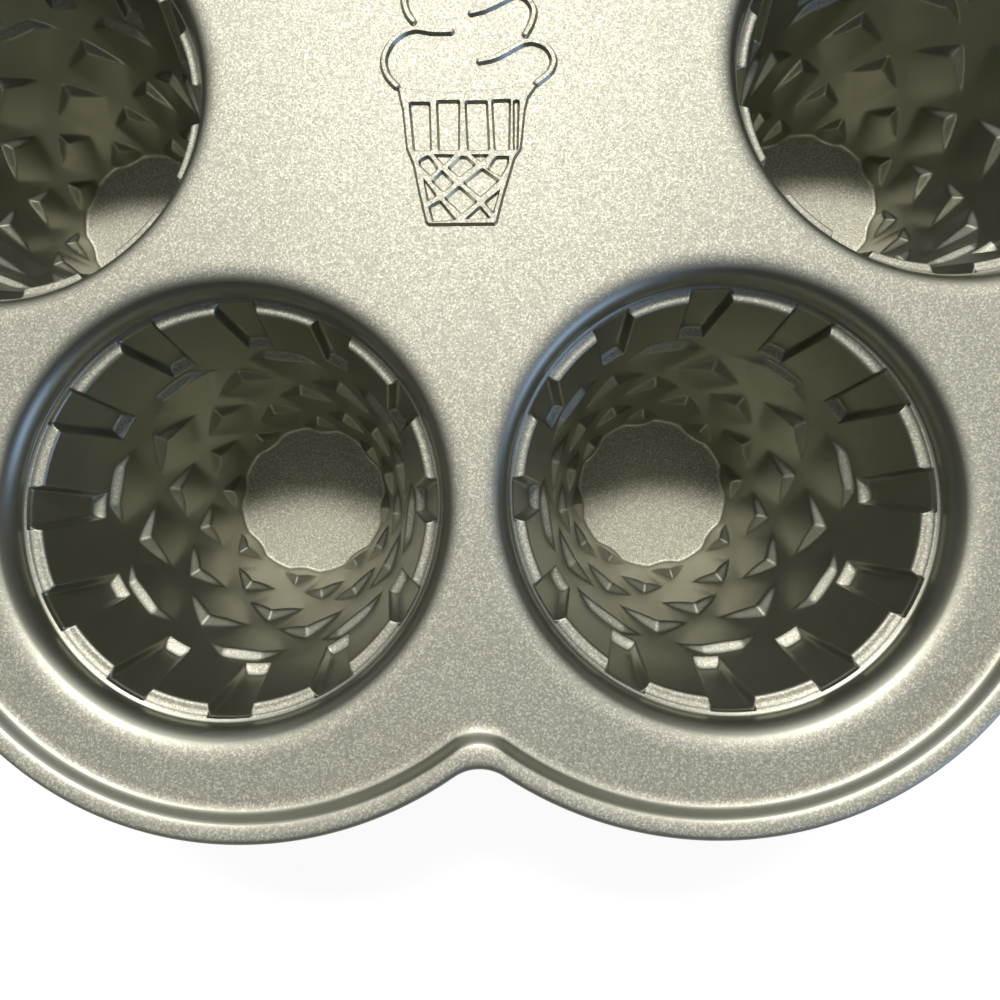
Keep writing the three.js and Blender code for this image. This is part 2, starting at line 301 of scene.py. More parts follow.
def wall_tree():
    """Rolls a sheet of angle and height into a well's wall with pads, grooves and diamonds."""
    names = ["Axis", "Ring radius", "Groove depth", "Diamond relief"]
    tree, given = shaping_tree("roll up the wall", names)
    angle, height, outer = tree.parts(tree.add("GeometryNodeInputPosition"))
    below = LEDGE - height
    pad_line = PAD_RADIUS - PAD_FALL * below
    wall = pad_line.soft_least(FLOOR_RADIUS + WALL_SLOPE * (height - FLOOR_TOP), WALL_SOFTNESS)

    across = angle / DIAMOND_STEP
    down = (FIRST_TOP - height) / ROW_PITCH
    right = (down + across - 1).wrapped(0, 2)
    left = (down - across - 1).wrapped(0, 2)
    row = down - (right + left) / 2
    turn = (right - left) * math.radians(DIAMOND_STEP / 2)
    fall = (right + left) / 2 * (ROW_PITCH / DIAMOND_HEIGHT)
    face = given["Diamond relief"] * (1 - fall)
    narrowing = height.share(FLOOR_TOP, NARROWING_TOP).between(*NARROWING)
    flat = wall - (wall - face) / (turn * narrowing).cosine()
    bevel = BEVEL_SLOPE * ROW_PITCH * right.soft_least(left, RIDGE_SOFTNESS_SHARE) - BEVEL_SINK
    cut = BEVEL_SLOPE * (FIRST_CUT - height)
    sides = bevel.soft_least(cut, EDGE_SOFTNESS)
    diamond = flat.soft_most(0, FACE_FADE).soft_least(sides, EDGE_SOFTNESS).soft_most(0, FOOT_SOFTNESS)
    diamond = diamond * row.above(-0.5)

    spot = angle.wrapped(-PAD_STEP / 2, PAD_STEP / 2).size()
    run_out = ((below - GROOVE_LENGTH) / COVE_LENGTH).most(0)
    groove_floor = PAD_RADIUS + given["Groove depth"] - GROOVE_FALL * below - COVE_RISE * run_out * run_out
    groove_half = (below / GROOVE_LENGTH).between(GROOVE_TOP_HALF, GROOVE_END_HALF)
    groove = groove_floor.soft_least(wall + (groove_half - spot) * GROOVE_SIDE, GROOVE_SOFTNESS)
    inner = (wall - diamond).soft_most(groove, EDGE_SOFTNESS)

    rise = height.share(LEDGE - PAD_DISH - PAD_EDGE, LEDGE - PAD_DISH)
    inner = inner + PAD_EDGE * (1 - (1 - rise * rise).most(0).root())
    sink = (FLOOR_TOP + FLOOR_FILLET - height).share(0, FLOOR_FILLET)
    inner = inner - FLOOR_FILLET * (1 - (1 - sink * sink).most(0).root())
    inner = inner.least(LEDGE_RADIUS)

    radius = outer.above(1).between(inner, outer.most(inner)) * MM
    facing = (angle + given["Axis"]) * math.radians(1)
    axis = given["Axis"] * math.radians(1)
    ring = given["Ring radius"] * MM
    place = tree.joined(
        ring * axis.cosine() + radius * facing.cosine(),
        ring * axis.sine() + radius * facing.sine(),
        height * MM,
    )
    shape = tree.add("GeometryNodeSetPosition", None, {"Geometry": given["Sheet"], "Position": place})
    return close_tree(tree, shape, given["Coating"])


def rim_tree():
    """Bends the lip's section round the scalloped outline."""
    names = ["Lobe ring radius", "Lobe radius", "Cusp radius"]
    tree, given = shaping_tree("bend the lip round", names)
    place, offset, height = tree.parts(tree.add("GeometryNodeInputPosition"))
    half_step = math.pi / WELLS
    swing = place.wrapped(-180 / WELLS, 180 / WELLS)
    axis = (place - swing) * math.radians(1)
    side = swing.sign()
    travel = swing.size() / (180 / WELLS)

    ring = given["Lobe ring radius"]
    radius = given["Lobe radius"] + offset
    cusp = given["Cusp radius"]
    half_gap = ring * math.sin(half_step)
    reach = ((radius + cusp) * (radius + cusp) - half_gap * half_gap).root()
    spread = half_gap.angle_over(reach)
    distance = ring * math.cos(half_step) + reach

    lobe_turn = (half_step + spread) * travel / LOBE_SHARE
    lobe_x = ring + radius * lobe_turn.cosine()
    lobe_y = radius * lobe_turn.sine()
    cusp_turn = half_step + math.pi + spread * (1 - (travel - LOBE_SHARE) / (1 - LOBE_SHARE))
    cusp_x = distance * math.cos(half_step) + cusp * cusp_turn.cosine()
    cusp_y = distance * math.sin(half_step) + cusp * cusp_turn.sine()
    on_cusp = travel.above(LOBE_SHARE)
    x = on_cusp.between(lobe_x, cusp_x)
    y = on_cusp.between(lobe_y, cusp_y) * side
    spot = tree.joined(
        (x * axis.cosine() - y * axis.sine()) * MM,
        (x * axis.sine() + y * axis.cosine()) * MM,
        height * MM,
    )
    shape = tree.add("GeometryNodeSetPosition", None, {"Geometry": given["Sheet"], "Position": spot})
    return close_tree(tree, shape, given["Coating"])


def swirl_tree():
    """Draws rounded strokes along lines."""
    names = ["Stroke width", "Stroke height", "Step"]
    tree, given = shaping_tree("draw the strokes", names)
    lines = tree.add("GeometryNodeMeshToCurve", None, {"Mesh": given["Sheet"]})
    lines = tree.add(
        "GeometryNodeResampleCurve",
        {"mode": "LENGTH"},
        {"Curve": lines, "Length": given["Step"] * MM},
    )
    lines = tree.add("GeometryNodeSetCurveNormal", {"mode": "Z_UP"}, {"Curve": lines})
    along = tree.add("GeometryNodeSplineParameter", None, None, 1)
    whole = tree.add("GeometryNodeSplineLength")
    from_end = along.least(whole - along) / (given["Stroke width"] * MM / 2)
    taper = (1 - from_end).most(0)
    width = (1 - taper * taper).most(0).root().most(STROKE_TIP_SHARE)

    ring = tree.add("GeometryNodeCurvePrimitiveCircle", None, {"Resolution": STROKE_SIDES, "Radius": 1.0})
    x, y, z = tree.parts(tree.add("GeometryNodeInputPosition"))
    flat_y = (y * STROKE_TOP).most(0).least(1)
    flat_x = (x * STROKE_FLANK).most(-1).least(1) * (1 - flat_y * STROKE_DRAFT)
    spot = tree.joined(
        flat_x * given["Stroke width"] * MM / -2,
        flat_y * given["Stroke height"] * -MM,
        0,
    )
    section = tree.add("GeometryNodeSetPosition", None, {"Geometry": ring, "Position": spot})
    sockets = {"Curve": lines, "Profile Curve": section, "Fill Caps": True, "Scale": width}
    shape = tree.add("GeometryNodeCurveToMesh", None, sockets)
    return close_tree(tree, shape, given["Coating"])


def shaped(name, sheet, tree, coating, **sizes):
    """Runs a shaping tree over a sheet and keeps the result as a plain mesh."""
    raw = bpy.data.objects.new(name + "_sheet", sheet)
    bpy.context.scene.collection.objects.link(raw)
    modifier = raw.modifiers.new("shape", "NODES")
    modifier.node_group = tree
    given = {"Coating": coating}
    given.update({key.replace("_", " ").capitalize(): value for key, value in sizes.items()})
    for item in tree.interface.items_tree:
        if item.in_out == "INPUT" and item.name in given:
            modifier[item.identifier] = given[item.name]
    bpy.context.view_layer.update()
    graph = bpy.context.evaluated_depsgraph_get()
    mesh = bpy.data.meshes.new_from_object(raw.evaluated_get(graph), depsgraph=graph)
    mesh.name = name
    bpy.data.objects.remove(raw)
    return mesh


def flat_sheet(name, columns, rows):
    """A sheet whose rows run round a closed section: x along the columns, y and z from the rows."""
    wide = len(columns)
    points = [(x, y, z) for y, z in rows for x in columns]
    faces = []
    for row in range(len(rows)):
        after = (row + 1) % len(rows)
        for column in range(wide - 1):
            corner = row * wide + column
            above = after * wide + column
            faces.append((corner, above, above + 1, corner + 1))
    mesh = bpy.data.meshes.new(name)
    mesh.from_pydata(points, [], faces)
    return mesh


def plain_mesh(name, points, faces, coating):
    """A mesh from points in millimetres."""
    mesh = bpy.data.meshes.new(name)
    mesh.from_pydata([(x * MM, y * MM, z * MM) for x, y, z in points], [], faces)
    mesh.materials.append(coating)
    mesh.update()
    return mesh


def place_piece(name, mesh, node, sharp=None):
    """Makes a mesh into a piece that stands for its node."""
    mesh.shade_smooth()
    if sharp:
        mesh.set_sharp_from_angle(angle=math.radians(sharp))
    piece = bpy.data.objects.new(name, mesh)
    bpy.context.scene.collection.objects.link(piece)
    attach(piece, "root")
    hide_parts(node)
    return piece


def filled(points, edges, tolerance):
    """Triangles between closed lines: their points, their corners and the given points they come from."""
    inside_lines = 1
    found, _, faces, sources = delaunay_2d_cdt(points, edges, [], inside_lines, tolerance)[:4]
    return found, faces, sources


def spread(low, high, steps):
    """Evenly spaced values with both ends."""
    return [low + (high - low) * step / steps for step in range(steps + 1)]


def outer_wall(height):
    """Radius of a well's outside."""
    return OUTER_FOOT + OUTER_SLOPE * (height - FLOOR_TOP)


# Coating on steep walls, painted darker as painted shade, and on what faces up, painted paler as painted
# light and rougher, with the sizes of its patterns as counts in a metre
SHADED_WALL_FINISH = {
    "colour": (0.37, 0.37, 0.305), "dark": 0.74, "bright": 1.3, "rough": 0.36, "metal": 0.95,
    "spark": 0.06, "relief": 0.1,
}
# Paler colour on what faces up: painted light; its roughness, metal, sparkle and relief are the finish
LIT_TOP_FINISH = {
    "colour": (0.68, 0.665, 0.56), "dark": 0.62, "bright": 1.4, "rough": 0.62, "metal": 0.6,
    "spark": 1.5, "relief": 1.0,
}
FLAKE_SCALE = 4000.0
GRAIN_SCALE = 2400.0
PATCH_SCALE = 60.0
GLINT_POWER = 3.0
GLINT_MEAN = 0.25
GLINT_SHARE = 0.6
GRAIN_SHARE = 0.6
PATCH_SHIFT = 0.2
PATCH_TONE = 0.12
ROUGH_SPREAD = 0.12
BUMP_STRENGTH = 0.4
BUMP_DEPTH = 0.06


def coating(name, light_and_finish_share, shade_facing, level_facing):
    """Satin coating of cast metal. What faces up is painted paler, as painted light, and is rougher; steep
    faces are painted darker, as painted shade.
    """
    material = bpy.data.materials.new(name)
    material.use_nodes = True
    tree = Tree(material.node_tree)
    where = tree.add("ShaderNodeTexCoord", None, None, 3)
    facing = tree.parts(tree.add("ShaderNodeTexCoord", None, None, 1))[2]
    flakes = tree.add("ShaderNodeTexVoronoi", None, {"Vector": where, "Scale": FLAKE_SCALE}, 1)
    glint, tone, bumpy = tree.parts(flakes)
    fine = tree.add("ShaderNodeTexNoise", None, {"Vector": where, "Scale": GRAIN_SCALE, "Detail": 3.0})
    broad = tree.add("ShaderNodeTexNoise", None, {"Vector": where, "Scale": PATCH_SCALE, "Detail": 4.0})
    # Share by facing: painted light and a rougher finish on what looks up, painted shade on steep faces
    up_facing_light_and_finish = facing.share(shade_facing, level_facing) * light_and_finish_share + (broad - 0.5) * PATCH_SHIFT
    up_facing_light_and_finish = up_facing_light_and_finish.most(0).least(1)
    spark = (glint.power(GLINT_POWER) - GLINT_MEAN) * GLINT_SHARE + (fine - 0.5) * GRAIN_SHARE
    spark = spark * up_facing_light_and_finish.between(SHADED_WALL_FINISH["spark"], LIT_TOP_FINISH["spark"])
    level = (0.5 + spark + (broad - 0.5) * PATCH_TONE).most(0).least(1)

    def grained(coat):
        dark = (*[part * coat["dark"] for part in coat["colour"]], 1)
        bright = (*[part * coat["bright"] for part in coat["colour"]], 1)
        return mix_colour(tree, {"Factor": level, "A": dark, "B": bright})

    # Darker copy of the coating for steep faces as painted shade, paler copy for what faces up as painted
    # light
    painted_shade_colour = grained(SHADED_WALL_FINISH)
    painted_light_colour = grained(LIT_TOP_FINISH)
    colour = mix_colour(tree, {"Factor": up_facing_light_and_finish, "A": painted_shade_colour, "B": painted_light_colour})
    rough = up_facing_light_and_finish.between(SHADED_WALL_FINISH["rough"], LIT_TOP_FINISH["rough"]) + (tone - 0.5) * up_facing_light_and_finish * ROUGH_SPREAD
    metal = up_facing_light_and_finish.between(SHADED_WALL_FINISH["metal"], LIT_TOP_FINISH["metal"])
    height = (fine * 0.5 + bumpy * 0.5) * up_facing_light_and_finish.between(SHADED_WALL_FINISH["relief"], LIT_TOP_FINISH["relief"])
    bump = tree.add(
        "ShaderNodeBump",
        None,
        {"Strength": BUMP_STRENGTH, "Distance": BUMP_DEPTH * MM, "Height": height},
    )
    shader = tree.add(
        "ShaderNodeBsdfPrincipled",
        None,
        {"Base Color": colour, "Roughness": rough, "Metallic": metal, "Normal": bump},
    )
    tree.add("ShaderNodeOutputMaterial", None, {"Surface": shader})
    return material


def mix_colour(tree, shades):
    """Mixes two colours by a factor."""
    node = tree.nodes.new("ShaderNodeMix")
    node.data_type = "RGBA"
    for socket in node.inputs:
        if socket.name in shades and socket.type in ("RGBA", "VALUE") and socket.enabled:
            tree.feed(socket, shades[socket.name])
    return Link(tree, next(socket for socket in node.outputs if socket.enabled))


# Share of painted light and rougher finish on what faces up, with painted shade below it, and the facings
# at which it begins and is full
deck_coating = coating("deck coating", 1.0, 0.78, 0.985)
well_coating = coating("well coating", 0.9, 0.55, 0.93)
figure_coating = coating("figure coating", 1.0, 0.68, 0.97)

roll_up = wall_tree()
bend_round = rim_tree()
draw = swirl_tree()


# Wells
def lattice_rows():
    """Rows of a lattice sheet: height, and the radius outside or 0 where the tree shapes the inside."""
    step = ROW_PITCH / PITCH_ROWS
    foot_turns = [math.radians(turn) for turn in (0, 25, 45, 65, 90)]
    foot = [(FLOOR_TOP + FLOOR_FILLET * (1 - math.cos(turn)), 0) for turn in foot_turns]
    count = int((FIRST_TOP - COLLAR_BOTTOM) / step) + 1
    heights = []
    while FIRST_TOP - count * step > FLOOR_TOP + FLOOR_FILLET + 0.1:
        heights.append(FIRST_TOP - count * step)
        count += 1
    inner = foot + [(height, 0) for height in reversed(heights)] + [(COLLAR_BOTTOM, 0)]
    outer = [(height, outer_wall(height)) for height in spread(COLLAR_BOTTOM, FLOOR_TOP, 8)]
    return inner + outer


def collar_rows():
    """Rows of a collar sheet, in the same way."""
    top = LEDGE - PAD_DISH
    inner = [(height, 0) for height in spread(COLLAR_BOTTOM, top - PAD_EDGE, PAD_ROWS)]
    edge = [(top - PAD_EDGE + PAD_EDGE * math.sin(math.radians(turn)), 0) for turn in (18, 36, 54, 72, 90)]
    seat = [(LEDGE + rise, radius) for radius, rise in SEAT_CURVE]
    wall = [(height, outer_wall(height)) for height in spread(LEDGE, COLLAR_BOTTOM, 5)]
    return inner + edge + seat + wall


def collar_columns():
    """Degrees round a collar, closer together near the sides of its grooves."""
    half = spread(0, FINE_FROM, 4) + spread(FINE_FROM, FINE_TO, 10)[1:]
    half += spread(FINE_TO, PAD_STEP / 2, 6)[1:]
    pitch = half[:-1] + [PAD_STEP - place for place in reversed(half)][:-1]
    return [PAD_STEP * number + place for number in range(360 // PAD_STEP) for place in pitch] + [360]


def turned(name, profile, columns, axis, coat):
    """A ring turned about a well's axis from a closed profile of radius and height."""
    centre = Vector((WELL_RING * math.cos(axis), WELL_RING * math.sin(axis)))
    points = []
    for radius, height in profile:
        for column in range(columns):
            turn = axis + 2 * math.pi * column / columns
            points.append((centre.x + radius * math.cos(turn), centre.y + radius * math.sin(turn), height))
    faces = []
    for row in range(len(profile)):
        after = (row + 1) % len(profile)
        for column in range(columns):
            beside = (column + 1) % columns
            faces.append((
                row * columns + column,
                after * columns + column,
                after * columns + beside,
                row * columns + beside,
            ))
    mesh = plain_mesh(name, points, faces, coat)
    shape = bmesh.new()
    shape.from_mesh(mesh)
    bmesh.ops.remove_doubles(shape, verts=shape.verts, dist=CENTRE_DISTANCE * MM)
    shape.to_mesh(mesh)
    shape.free()
    return mesh


def shoulder_height(radius):
    """Height of the soft shoulder between the deck and the throat."""
    share = min(max((SHOULDER_START - radius) / (SHOULDER_START - THROAT_RADIUS), 0), 1)
    drop = DECK_TOP - LEDGE - THROAT_HEIGHT
    return DECK_TOP - drop * (1 - math.sqrt(max(1 - share ** SHOULDER_CURVE, 0)))


def mouth_profile():
    """Closed section of a mouth: throat, shoulder, seam and the flare underneath."""
    throat = [(radius, LEDGE + rise) for radius, rise in THROAT_CURVE]
    shoulder = []
    for step in range(1, SHOULDER_ROWS + 1):
        turn = step / SHOULDER_ROWS * math.pi / 2
        radius = SEAM_RADIUS - (SEAM_RADIUS - THROAT_RADIUS) * math.cos(turn)
        shoulder.append((radius, shoulder_height(radius)))
    flare = []
    far = outer_wall(LEDGE)
    for turn in spread(0, 90, FLARE_ROWS):
        run = 1 - math.sin(math.radians(turn))
        rise = math.cos(math.radians(turn))
        flare.append((far + (FLARE_RADIUS - far) * run, LEDGE + (DECK_BOTTOM - FLARE_EDGE - LEDGE) * rise))
    return throat + shoulder + [(SEAM_RADIUS, DECK_BOTTOM), (FLARE_RADIUS, DECK_BOTTOM)] + flare


def floor_disc(name, axis, coat):
    """The disc that closes a well, with a rounded foot."""
    edge = outer_wall(FLOOR_TOP)
    profile = [(0, 0)]
    for turn in spread(0, 90, 6):
        run = math.sin(math.radians(turn))
        rise = 1 - math.cos(math.radians(turn))
        profile.append((edge - FOOT_ROUND + FOOT_ROUND * run, FOOT_ROUND * rise))
    profile += [(edge, FLOOR_TOP), (FLOOR_RADIUS, FLOOR_TOP), (FLOOR_MIDDLE, FLOOR_TOP), (0, FLOOR_TOP)]
    return turned(name, list(reversed(profile)), FLOOR_COLUMNS, axis, coat)


for number in range(WELLS):
    label = str(number + 1)
    turn = 360 / WELLS * number
    axis = math.radians(turn)
    node = "well_" + label
    sizes = {
        "axis": float(turn),
        "ring_radius": float(WELL_RING),
        "groove_depth": float(GROOVE_RADIUS - PAD_RADIUS),
        "diamond_relief": float(DIAMOND_RELIEF),
    }
    sheet = flat_sheet("lattice_sheet", spread(0, 360, LATTICE_COLUMNS), lattice_rows())
    mesh = shaped("lattice_" + label, sheet, roll_up, well_coating, **sizes)
    place_piece("lattice_" + label, mesh, node + "_lattice", 60)
    sheet = flat_sheet("collar_sheet", collar_columns(), collar_rows())
    mesh = shaped("collar_" + label, sheet, roll_up, well_coating, **sizes)
    place_piece("collar_" + label, mesh, node + "_collar", 60)
    mesh = turned("mouth_" + label, mouth_profile(), MOUTH_COLUMNS, axis, deck_coating)
    place_piece("mouth_" + label, mesh, node + "_mouth", 50)
    mesh = floor_disc("floor_" + label, axis, deck_coating)
    place_piece("floor_" + label, mesh, node + "_floor", 40)


# Deck and lip
def outline_point(place, offset):
    """A point of the scalloped outline, by degrees round it and distance outside the foot of the lip."""
    half = math.pi / WELLS
    swing = (place + 180 / WELLS) % (360 / WELLS) - 180 / WELLS
    axis = math.radians(place - swing)
    side = -1 if swing < 0 else 1
    travel = abs(swing) / (180 / WELLS)
    radius = LOBE_RADIUS + offset
    cusp = CUSP_RADIUS
    gap = LOBE_RING * math.sin(half)
    reach = math.sqrt((radius + cusp) ** 2 - gap ** 2)
    spread_angle = math.atan2(gap, reach)
    distance = LOBE_RING * math.cos(half) + reach
    if travel <= LOBE_SHARE:
        bend = (half + spread_angle) * travel / LOBE_SHARE
        point = Vector((LOBE_RING + radius * math.cos(bend), side * radius * math.sin(bend)))
    else:
        bend = half + math.pi + spread_angle * (1 - (travel - LOBE_SHARE) / (1 - LOBE_SHARE))
        point = Vector((
            distance * math.cos(half) + cusp * math.cos(bend),
            side * (distance * math.sin(half) + cusp * math.sin(bend)),
        ))
    cosine, sine = math.cos(axis), math.sin(axis)
    return Vector((point.x * cosine - point.y * sine, point.x * sine + point.y * cosine))


def deck_mesh():
    """The deck between the foot of the lip and the seams of the mouths."""
    radii = spread(SEAM_RADIUS, SHOULDER_START, 4)
    columns = MOUTH_COLUMNS
    flat = [outline_point(place, LIP_FOOT) for place in spread(0, 360, OUTLINE_COLUMNS)[:-1]]
    heights = [DECK_TOP] * len(flat)
    edges = [(step, (step + 1) % len(flat)) for step in range(len(flat))]
    centres = []
    for number in range(WELLS):
        axis = 2 * math.pi * number / WELLS
        centre = Vector((WELL_RING * math.cos(axis), WELL_RING * math.sin(axis)))
        centres.append(centre)
        for radius in radii:
            first = len(flat)
            for column in range(columns):
                turn = axis + 2 * math.pi * column / columns
                flat.append(centre + radius * Vector((math.cos(turn), math.sin(turn))))
                heights.append(shoulder_height(radius))
            edges += [(first + column, first + (column + 1) % columns) for column in range(columns)]
    points, triangles, sources = filled(flat, edges, 1e-5)
    level = [heights[source[0]] if source else DECK_TOP for source in sources]
    faces = []
    for face in triangles:
        middle = sum((points[corner] for corner in face), Vector((0, 0))) / 3
        if all((middle - centre).length >= SEAM_RADIUS - SEAM_SLACK for centre in centres):
            faces.append(face)
    used = dict.fromkeys(side for face in faces for side in zip(face, face[1:] + face[:1]))
    count = len(points)
    solid = [(p.x, p.y, z) for p, z in zip(points, level)] + [(p.x, p.y, DECK_BOTTOM) for p in points]
    all_faces = [tuple(face) for face in faces]
    all_faces += [tuple(count + corner for corner in reversed(face)) for face in faces]
    for here, there in used:
        if (there, here) not in used:
            all_faces.append((there, here, count + here, count + there))
    return plain_mesh("deck", solid, all_faces, deck_coating)


place_piece("deck", deck_mesh(), "deck_plate", 30)


def lip_section():
    """Section of the lip as offset and height: from its foot on the deck over the top and back below."""
    section = [(LIP_SLOPE[0][0] - LIP_START, DECK_TOP - LIP_ROOT)]
    section += [(offset, DECK_TOP + share * (LIP_TOP - DECK_TOP)) for offset, share in LIP_SLOPE]
    for turn in spread(0, 90, 4):
        section.append((
            LIP_REACH - LIP_EDGE + LIP_EDGE * math.cos(math.radians(turn)),
            DECK_TOP + LIP_EDGE - LIP_EDGE * math.sin(math.radians(turn)),
        ))
    return section + [(LIP_FOOT + LIP_LEVEL, DECK_TOP), (LIP_FOOT - LIP_INSET, DECK_TOP - LIP_ROOT)]


sheet = flat_sheet("lip_sheet", spread(0, 360, LIP_COLUMNS), list(reversed(lip_section())))
rim_sizes = {
    "lobe_ring_radius": float(LOBE_RING),
    "lobe_radius": float(LOBE_RADIUS),
    "cusp_radius": float(CUSP_RADIUS),
}
rim_mesh = shaped("rim", sheet, bend_round, deck_coating, **rim_sizes)
place_piece("rim", rim_mesh, "outer_rim", 50)

# Raised figure, as shares of its width and height
CONE_OUTLINE_SHARES = [
    (-0.223, -0.493), (0.144, -0.497), (0.158, -0.49), (0.197, -0.408), (0.268, -0.28), (0.305, -0.25),
    (0.322, -0.17), (0.334, -0.12), (0.354, -0.078), (0.41, -0.034), (0.238, -0.042), (0.091, -0.049),
    (-0.074, -0.052), (-0.203, -0.046), (-0.344, -0.034), (-0.39, -0.028), (-0.38, -0.063), (-0.362, -0.11),
    (-0.343, -0.237), (-0.305, -0.294), (-0.275, -0.387), (-0.238, -0.485),
]
CONE_OPENING_SHARES = [
    [(-0.304, -0.247), (-0.205, -0.248), (-0.209, -0.086), (-0.327, -0.084)],
    [(-0.163, -0.248), (-0.045, -0.25), (-0.038, -0.083), (-0.169, -0.081)],
    [(0.003, -0.251), (0.127, -0.253), (0.12, -0.087), (-0.005, -0.086)],
    [(0.156, -0.254), (0.241, -0.255), (0.253, -0.085), (0.148, -0.085)],
    [(0.265, -0.254), (0.288, -0.254), (0.303, -0.088), (0.272, -0.088)],
    [(-0.273, -0.296), (-0.21, -0.334), (-0.168, -0.309), (-0.209, -0.273), (-0.226, -0.266),
     (-0.273, -0.279)],
    [(-0.134, -0.298), (-0.076, -0.266), (-0.188, -0.263)],
    [(-0.11, -0.308), (-0.048, -0.34), (0.045, -0.301), (-0.005, -0.273), (-0.04, -0.272)],
    [(0.076, -0.291), (0.122, -0.269), (0.026, -0.267)],
    [(0.114, -0.316), (0.191, -0.343), (0.23, -0.304), (0.236, -0.277), (0.163, -0.276)],
    [(-0.203, -0.353), (-0.136, -0.388), (-0.079, -0.358), (-0.146, -0.317)],
    [(-0.024, -0.359), (0.071, -0.408), (0.176, -0.355), (0.084, -0.314)],
    [(-0.25, -0.342), (-0.229, -0.416), (-0.178, -0.4)],
    [(-0.132, -0.409), (-0.037, -0.462), (0.05, -0.423), (-0.049, -0.371)],
    [(0.093, -0.427), (0.142, -0.463), (0.181, -0.387)],
    [(-0.223, -0.435), (-0.202, -0.485), (-0.072, -0.481), (-0.159, -0.417)],
    [(-0.015, -0.479), (0.121, -0.478), (0.067, -0.439)],
]
STROKE_SHARES = [
    [(-0.384, -0.033), (-0.449, 0.01), (-0.474, 0.056), (-0.463, 0.093), (-0.42, 0.134), (-0.355, 0.162),
     (-0.282, 0.172), (-0.18, 0.162), (-0.057, 0.16)],
    [(0.059, 0.052), (0.168, 0.064), (0.27, 0.093), (0.342, 0.113), (0.407, 0.113), (0.473, 0.093),
     (0.509, 0.052), (0.487, 0.01), (0.429, -0.018), (0.389, -0.036)],
    [(-0.285, 0.189), (-0.328, 0.224), (-0.35, 0.269), (-0.337, 0.314), (-0.275, 0.345), (-0.173, 0.354),
     (-0.072, 0.349), (-0.006, 0.342)],
    [(0.016, 0.22), (0.11, 0.232), (0.211, 0.257), (0.299, 0.279), (0.364, 0.265), (0.403, 0.224),
     (0.383, 0.175), (0.339, 0.13)],
    [(-0.238, 0.356), (-0.256, 0.388), (-0.217, 0.425), (-0.137, 0.452), (-0.035, 0.469), (0.03, 0.488)],
    [(0.296, 0.284), (0.301, 0.327), (0.262, 0.364), (0.197, 0.397), (0.11, 0.429), (0.03, 0.488)],
    [(-0.006, 0.372), (0.088, 0.378), (0.182, 0.394)],
]


def figure_point(share):
    """A point of the figure from its shares of the figure's width and height."""
    return Vector((share[0] * FIGURE_WIDTH, share[1] * FIGURE_HEIGHT))


def smooth_line(points, steps):
    """Points along a curve that runs through the given ones."""
    line = []
    for number in range(len(points) - 1):
        before = points[max(number - 1, 0)]
        here, there = points[number], points[number + 1]
        after = points[min(number + 2, len(points) - 1)]
        for step in range(steps):
            t = step / steps
            line.append(0.5 * (
                2 * here + (there - before) * t
                + (2 * before - 5 * here + 4 * there - after) * t * t
                + (3 * here - before - 3 * there + after) * t * t * t
            ))
    return line + [points[-1]]


def swirl_lines():
    """The middle lines of the swirl's strokes."""
    points = []
    edges = []
    for shares in STROKE_SHARES:
        first = len(points)
        points += smooth_line([figure_point(share) for share in shares], 8)
        edges += [(step, step + 1) for step in range(first, len(points) - 1)]
    mesh = bpy.data.meshes.new("swirl_lines")
    mesh.from_pydata([(p.x * MM, p.y * MM, DECK_TOP * MM) for p in points], edges, [])
    return mesh


stroke_sizes = {"stroke_width": STROKE_WIDTH, "stroke_height": FIGURE_RELIEF, "step": 0.25}
mesh = shaped("figure_swirl", swirl_lines(), draw, figure_coating, **stroke_sizes)
place_piece("figure_swirl", mesh, "emblem_swirl", 50)


def rounded(loop, size):
    """A loop with each corner cut to a short curve."""
    curve = []
    for before, corner, after in zip(loop[-1:] + loop[:-1], loop, loop[1:] + loop[:1]):
        start = corner + (before - corner) * min(size / (before - corner).length, ROUND_SHARE)
        end = corner + (after - corner) * min(size / (after - corner).length, ROUND_SHARE)
        for share in (0, 0.33, 0.67, 1):
            curve.append(start.lerp(corner, share).lerp(corner.lerp(end, share), share))
    return curve


def moved_in(loop, distance):
    """An anticlockwise loop with every side moved inwards."""
    moved = []
    for before, corner, after in zip(loop[-1:] + loop[:-1], loop, loop[1:] + loop[:1]):
        first = (corner - before).normalized()
        second = (after - corner).normalized()
        middle = Vector((-first.y - second.y, first.x + second.x)).normalized()
        lean = max(middle.dot(Vector((-first.y, first.x))), MITRE_LIMIT)
        moved.append(corner + middle * distance / lean)
    return moved


def inside(point, loop):
    """Whether a point lies inside a loop."""
    hit = False
    for here, there in zip(loop, loop[1:] + loop[:1]):
        if (here.y > point.y) != (there.y > point.y):
            cross = here.x + (point.y - here.y) / (there.y - here.y) * (there.x - here.x)
            hit = hit != (point.x < cross)
    return hit


def level_faces(loops):
    """Faces between an outer loop and the holes in it, as numbers of the loops' points in a row."""
    flat = [point for loop in loops for point in loop]
    edges = []
    first = 0
    for loop in loops:
        edges += [(first + step, first + (step + 1) % len(loop)) for step in range(len(loop))]
        first += len(loop)
    points, faces, sources = filled(flat, edges, 1e-6)
    kept = []
    for face in faces:
        centre = sum((points[corner] for corner in face), Vector((0, 0))) / len(face)
        if inside(centre, loops[0]) and not any(inside(centre, hole) for hole in loops[1:]):
            kept.append([sources[corner][0] for corner in face])
    return kept


